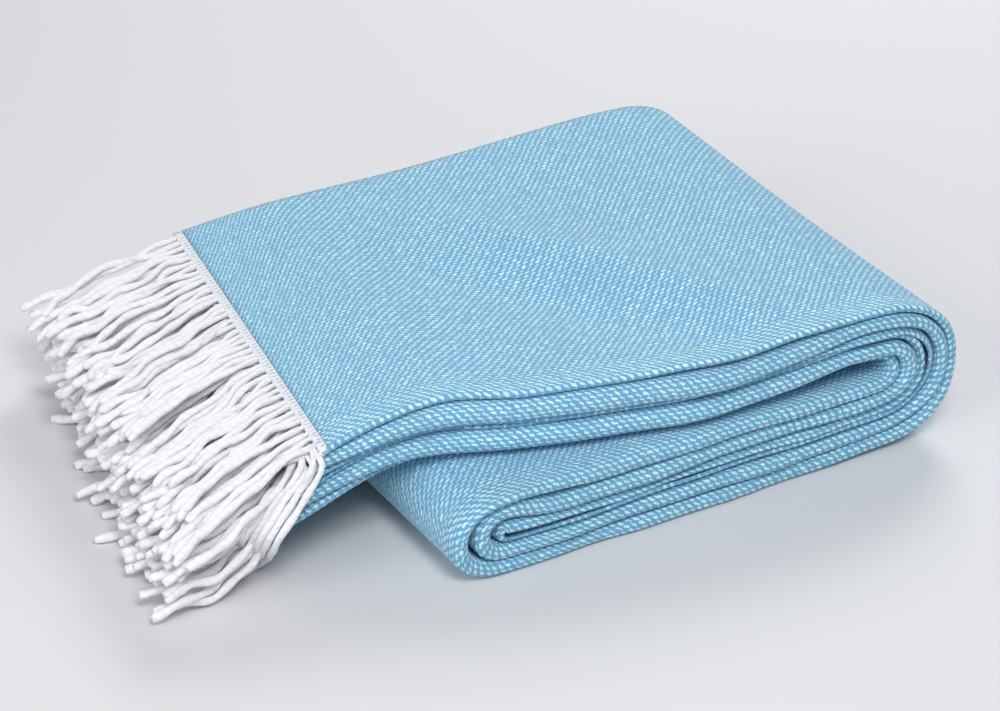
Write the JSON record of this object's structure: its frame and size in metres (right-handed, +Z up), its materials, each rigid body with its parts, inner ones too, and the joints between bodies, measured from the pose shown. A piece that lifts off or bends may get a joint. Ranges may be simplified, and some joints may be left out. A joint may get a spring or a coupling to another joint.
{
  "type": "folded fringed throw blanket",
  "caption": "Pale blue twill throw blanket, pleated and folded over into a soft pad, with a white twisted fringe spilling from its two ends at one side.",
  "frame": {"origin": "middle of the flat underside on which the folded blanket rests", "axes": "+X from the fringe towards the round end of the fold, +Y from the front folds to the back folds, +Z up"},
  "size_m": [0.4607, 0.3056, 0.0918],
  "materials": {
    "cloth": "matte",
    "fringe": "matte"
  },
  "bodies": {
    "root": {"blanket": "cloth", "fringe_top": "fringe", "fringe_under": "fringe"}
  },
  "joints": []
}
